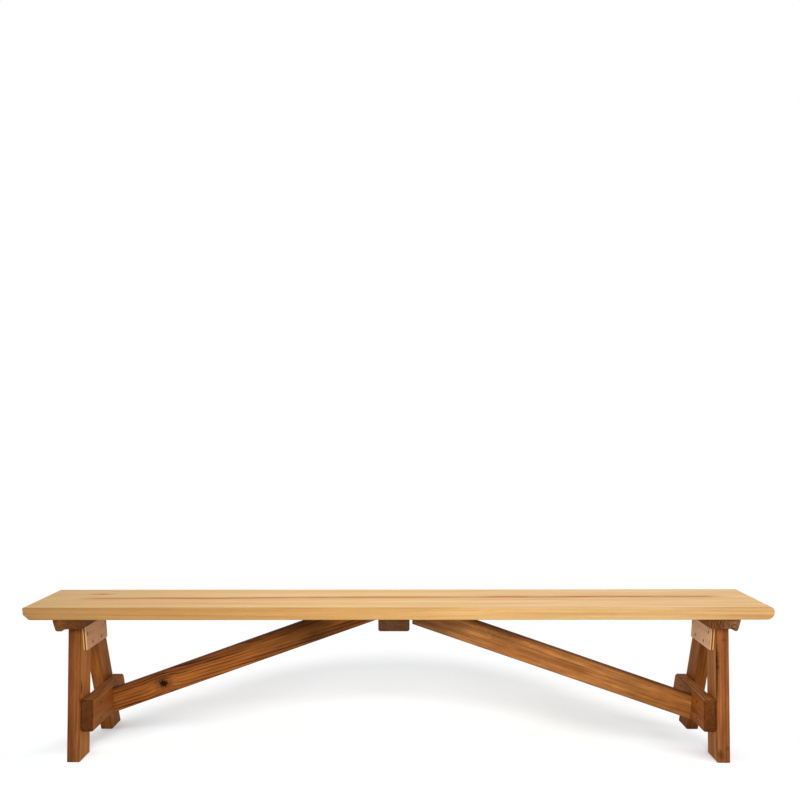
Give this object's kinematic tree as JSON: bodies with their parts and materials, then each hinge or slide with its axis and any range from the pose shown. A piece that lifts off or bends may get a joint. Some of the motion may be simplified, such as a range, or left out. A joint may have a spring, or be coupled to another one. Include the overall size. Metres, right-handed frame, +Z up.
{
  "type": "picnic bench",
  "caption": "Long backless bench: a plank seat on splayed timber trestles, tied by low rails, plywood gussets and sloping braces.",
  "frame": {"origin": "on the floor, under the middle of the bench's overall box", "axes": "+X along the seat towards the end with the rounded nose, -Y towards the front, +Z up"},
  "size_m": [2.1, 0.399, 0.44],
  "materials": {
    "pine": "pale pine, clear satin finish worn at the edges",
    "stained": "reddish brown stain with bold dark grain, satin",
    "dark": "dark brown stain, dull",
    "plywood": "plywood with pale and dark plies on its edges, dull",
    "steel": "plain steel gone dark and dull"
  },
  "bodies": {
    "root": {"batten_middle": "dark", "batten_screw_1": "steel", "batten_screw_2": "steel", "batten_screw_3": "steel", "batten_screw_4": "steel", "brace_foot_screw_left_1": "steel", "brace_foot_screw_left_2": "steel", "brace_foot_screw_right_1": "steel", "brace_foot_screw_right_2": "steel", "brace_left": "stained", "brace_nose_screw_left": "steel", "brace_nose_screw_right": "steel", "brace_right": "stained", "cleat_left": "dark", "cleat_right": "dark", "cleat_screw_left_1": "steel", "cleat_screw_left_2": "steel", "cleat_screw_left_3": "steel", "cleat_screw_left_4": "steel", "cleat_screw_right_1": "steel", "cleat_screw_right_2": "steel", "cleat_screw_right_3": "steel", "cleat_screw_right_4": "steel", "gusset_left": "plywood", "gusset_nail_left_back_1": "steel", "gusset_nail_left_back_2": "steel", "gusset_nail_left_front_1": "steel", "gusset_nail_left_front_2": "steel", "gusset_nail_right_back_1": "steel", "gusset_nail_right_back_2": "steel", "gusset_nail_right_front_1": "steel", "gusset_nail_right_front_2": "steel", "gusset_right": "plywood", "leg_left_back": "stained", "leg_left_front": "stained", "leg_right_back": "stained", "leg_right_front": "stained", "leg_screw_left_back": "steel", "leg_screw_left_front": "steel", "leg_screw_right_back": "steel", "leg_screw_right_front": "steel", "rail_left": "stained", "rail_nail_left_back_1": "steel", "rail_nail_left_back_2": "steel", "rail_nail_left_front_1": "steel", "rail_nail_left_front_2": "steel", "rail_nail_right_back_1": "steel", "rail_nail_right_back_2": "steel", "rail_nail_right_front_1": "steel", "rail_nail_right_front_2": "steel", "rail_right": "stained", "seat_board": "pine"}
  },
  "joints": []
}
